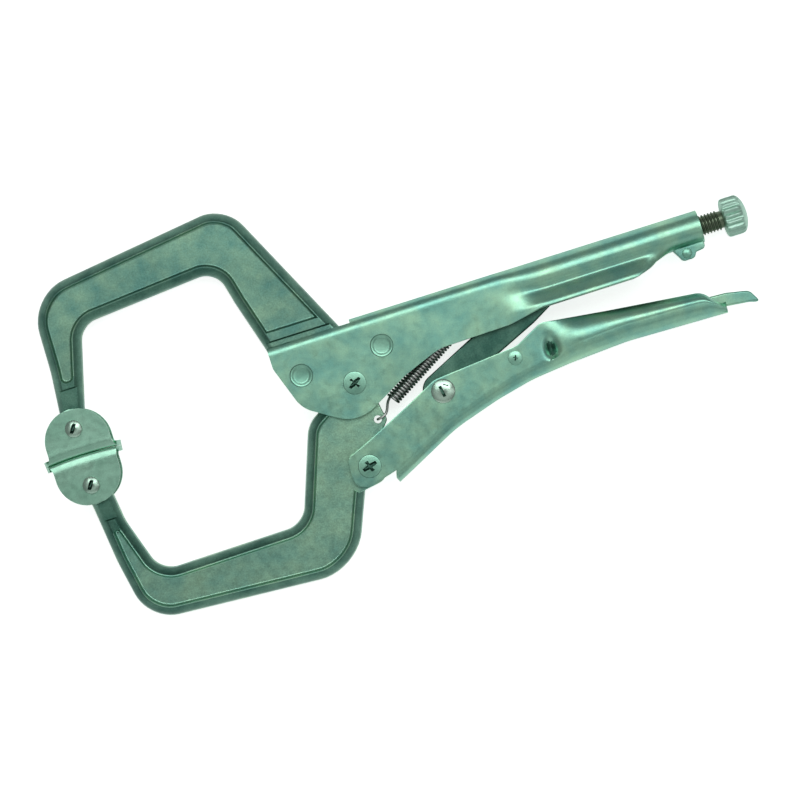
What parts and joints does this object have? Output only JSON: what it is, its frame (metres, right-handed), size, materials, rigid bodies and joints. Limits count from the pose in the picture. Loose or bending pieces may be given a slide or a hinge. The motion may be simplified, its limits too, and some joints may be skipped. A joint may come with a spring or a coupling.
{
  "type": "locking pliers",
  "caption": "Locking C-clamp pliers with two forged C-shaped jaws, swivel pads, pressed steel handles, toggle link, release lever and adjusting screw, shown closed and locked",
  "frame": {"origin": "bottom centre of the whole tool as it lies on one side, closed and locked", "axes": "+X along the adjusting screw from the jaws to the knob, +Y from the lower handle to the upper handle, +Z square to the plane of the jaws"},
  "size_m": [0.2794, 0.1436, 0.018],
  "materials": {
    "zinc_sheet": "bright zinc plate on pressed steel",
    "forged_steel": "zinc plate on forged steel, grained",
    "rivet_steel": "peened and plated",
    "screw_steel": "oiled thread",
    "spring_steel": "drawn wire"
  },
  "bodies": {
    "upper_frame": {"upper_handle": "zinc_sheet", "fixed_jaw": "forged_steel", "fixed_jaw_rivet_front": "rivet_steel", "fixed_jaw_rivet_rear": "rivet_steel", "jaw_pivot_rivet": "rivet_steel", "jaw_spring": "spring_steel", "tube_rivet": "rivet_steel", "upper_pad_rivet": "rivet_steel"},
    "jaw": {"moving_jaw": "forged_steel", "handle_pivot_rivet": "rivet_steel", "lower_pad_rivet": "rivet_steel"},
    "handle": {"lower_handle": "zinc_sheet", "link_pivot_rivet": "rivet_steel", "release_lever_rivet": "rivet_steel"},
    "link": {"toggle_link": "forged_steel"},
    "lever": {"release_lever": "zinc_sheet"},
    "pad_upper": {"upper_pad": "zinc_sheet"},
    "pad_lower": {"lower_pad": "zinc_sheet"},
    "screw": {"adjusting_screw": "screw_steel"},
    "knob": {"screw_knob": "zinc_sheet"}
  },
  "joints": [
    {"name": "jaw_hinge", "type": "hinge", "parent": "upper_frame", "child": "jaw", "pos_m": [-0.01965, -0.00532, 0.009], "axis": [0, 0, 1], "range_deg": [0, 30], "deforming": ["jaw_spring"]},
    {"name": "handle_hinge", "type": "hinge", "parent": "jaw", "child": "handle", "pos_m": [-0.02365, -0.03672, 0.009], "axis": [0, 0, 1], "range_deg": [-69.6, 0]},
    {"name": "link_hinge", "type": "hinge", "parent": "handle", "child": "link", "pos_m": [0.01095, -0.01812, 0.009], "axis": [0, 0, 1], "range_deg": [0, 70.8]},
    {"name": "lever_hinge", "type": "hinge", "parent": "handle", "child": "lever", "pos_m": [0.04035, -0.01442, 0.009], "axis": [0, 0, 1], "range_deg": [0, 6]},
    {"name": "upper_pad_swivel", "type": "hinge", "parent": "upper_frame", "child": "pad_upper", "pos_m": [-0.12485, 0.00988, 0.009], "axis": [0, 0, 1], "range_deg": [0, 15]},
    {"name": "lower_pad_swivel", "type": "hinge", "parent": "jaw", "child": "pad_lower", "pos_m": [-0.12485, -0.01212, 0.009], "axis": [0, 0, 1], "range_deg": [-15, 0]},
    {"name": "screw_slide", "type": "slide", "parent": "upper_frame", "child": "screw", "axis": [1, 0, 0], "range_m": [0, 0.01201]},
    {"name": "knob_turn", "type": "hinge", "parent": "screw", "child": "knob", "pos_m": [0.13035, 0.01188, 0.009], "axis": [1, 0, 0], "range_deg": [0, 3456]}
  ],
  "couplings": [
    {"joint": "handle_hinge", "follows": "jaw_hinge", "ratio": -2.32},
    {"joint": "link_hinge", "follows": "jaw_hinge", "ratio": 2.36},
    {"joint": "upper_pad_swivel", "follows": "jaw_hinge", "ratio": 0.5},
    {"joint": "lower_pad_swivel", "follows": "jaw_hinge", "ratio": -0.5},
    {"joint": "screw_slide", "follows": "knob_turn", "m_per_rad": 0.00019894}
  ]
}
